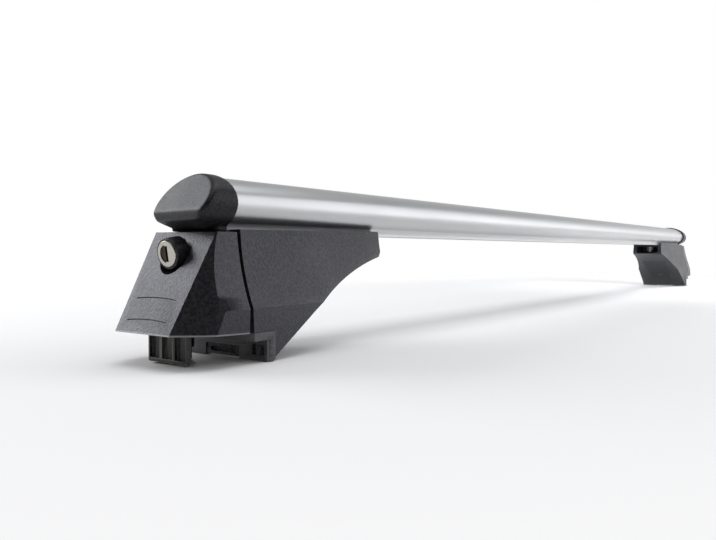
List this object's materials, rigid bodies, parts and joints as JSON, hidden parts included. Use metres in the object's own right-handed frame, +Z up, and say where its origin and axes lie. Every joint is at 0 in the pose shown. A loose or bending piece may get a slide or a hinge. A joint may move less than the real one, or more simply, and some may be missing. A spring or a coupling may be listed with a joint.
{
  "type": "roof rack crossbar",
  "caption": "Oval aluminium roof bar with slanted end caps and two lockable wing-shaped feet that clamp flush roof rails.",
  "frame": {"origin": "middle of the bar, on the plane that the rail pads stand on", "axes": "+X along the bar from the left foot to the right foot, +Y across it, +Z up"},
  "size_m": [1.2136, 0.0736, 0.1058],
  "materials": {
    "anodised_aluminium": "satin anodised",
    "black_plastic": "fine moulded grain",
    "cover_plastic": "fine moulded grain",
    "pad_rubber": "moulded",
    "black_rubber": "matt",
    "claw_steel": "black coated",
    "black_steel": "black oxide",
    "zinc_steel": "zinc plated",
    "nickel": "nickel plated"
  },
  "bodies": {
    "bar": {"aluminium_bar": "anodised_aluminium", "left_end_cap": "black_plastic", "right_end_cap": "black_plastic"},
    "left_foot": {"left_foot_body": "black_plastic", "left_saddle_pad": "black_rubber", "left_rail_pad": "pad_rubber", "left_underside_panel": "black_plastic", "left_panel_screw": "black_steel", "left_clamp_nut": "zinc_steel", "left_tee_bolt": "zinc_steel", "left_tee_bolt_washer": "zinc_steel", "left_tee_bolt_nut": "zinc_steel"},
    "left_cover": {"left_front_cover": "cover_plastic", "left_lock_housing": "black_plastic"},
    "left_lock": {"left_lock_core": "nickel", "left_keyhole_shutter": "nickel", "left_lock_cam": "zinc_steel", "left_cam_screw": "zinc_steel"},
    "left_claw": {"left_clamp_claw": "claw_steel", "left_claw_liner": "black_rubber", "left_clamp_washer": "zinc_steel"},
    "left_bolt": {"left_clamp_bolt": "zinc_steel"},
    "right_foot": {"right_foot_body": "black_plastic", "right_saddle_pad": "black_rubber", "right_rail_pad": "pad_rubber", "right_underside_panel": "black_plastic", "right_panel_screw": "black_steel", "right_clamp_nut": "zinc_steel", "right_tee_bolt": "zinc_steel", "right_tee_bolt_washer": "zinc_steel", "right_tee_bolt_nut": "zinc_steel"},
    "right_cover": {"right_front_cover": "cover_plastic", "right_lock_housing": "black_plastic"},
    "right_lock": {"right_lock_core": "nickel", "right_keyhole_shutter": "nickel", "right_lock_cam": "zinc_steel", "right_cam_screw": "zinc_steel"},
    "right_claw": {"right_clamp_claw": "claw_steel", "right_claw_liner": "black_rubber", "right_clamp_washer": "zinc_steel"},
    "right_bolt": {"right_clamp_bolt": "zinc_steel"}
  },
  "joints": [
    {"name": "left_foot_slide", "type": "slide", "parent": "bar", "child": "left_foot", "axis": [1, 0, 0], "range_m": [0, 0.15]},
    {"name": "left_cover_pull", "type": "slide", "parent": "left_foot", "child": "left_cover", "axis": [-1, 0, 0], "range_m": [0, 0.07]},
    {"name": "left_lock_turn", "type": "hinge", "parent": "left_cover", "child": "left_lock", "pos_m": [-0.5896, 0, 0.0604], "axis": [-0.9877, 0, -0.1564], "range_deg": [0, 90]},
    {"name": "left_claw_slide", "type": "slide", "parent": "left_foot", "child": "left_claw", "axis": [1, 0, 0], "range_m": [0, 0.012]},
    {"name": "left_bolt_turn", "type": "hinge", "parent": "left_claw", "child": "left_bolt", "pos_m": [-0.566, 0, 0.027], "axis": [1, 0, 0], "range_deg": [0, 3457]},
    {"name": "right_foot_slide", "type": "slide", "parent": "bar", "child": "right_foot", "axis": [-1, 0, 0], "range_m": [0, 0.15]},
    {"name": "right_cover_pull", "type": "slide", "parent": "right_foot", "child": "right_cover", "axis": [1, 0, 0], "range_m": [0, 0.07]},
    {"name": "right_lock_turn", "type": "hinge", "parent": "right_cover", "child": "right_lock", "pos_m": [0.5896, 0, 0.0604], "axis": [0.9877, 0, -0.1564], "range_deg": [0, 90]},
    {"name": "right_claw_slide", "type": "slide", "parent": "right_foot", "child": "right_claw", "axis": [-1, 0, 0], "range_m": [0, 0.012]},
    {"name": "right_bolt_turn", "type": "hinge", "parent": "right_claw", "child": "right_bolt", "pos_m": [0.566, 0, 0.027], "axis": [-1, 0, 0], "range_deg": [0, 3457]}
  ],
  "couplings": [
    {"joint": "left_bolt_turn", "follows": "left_claw_slide", "rad_per_m": 5026.5},
    {"joint": "right_bolt_turn", "follows": "right_claw_slide", "rad_per_m": 5026.5}
  ]
}
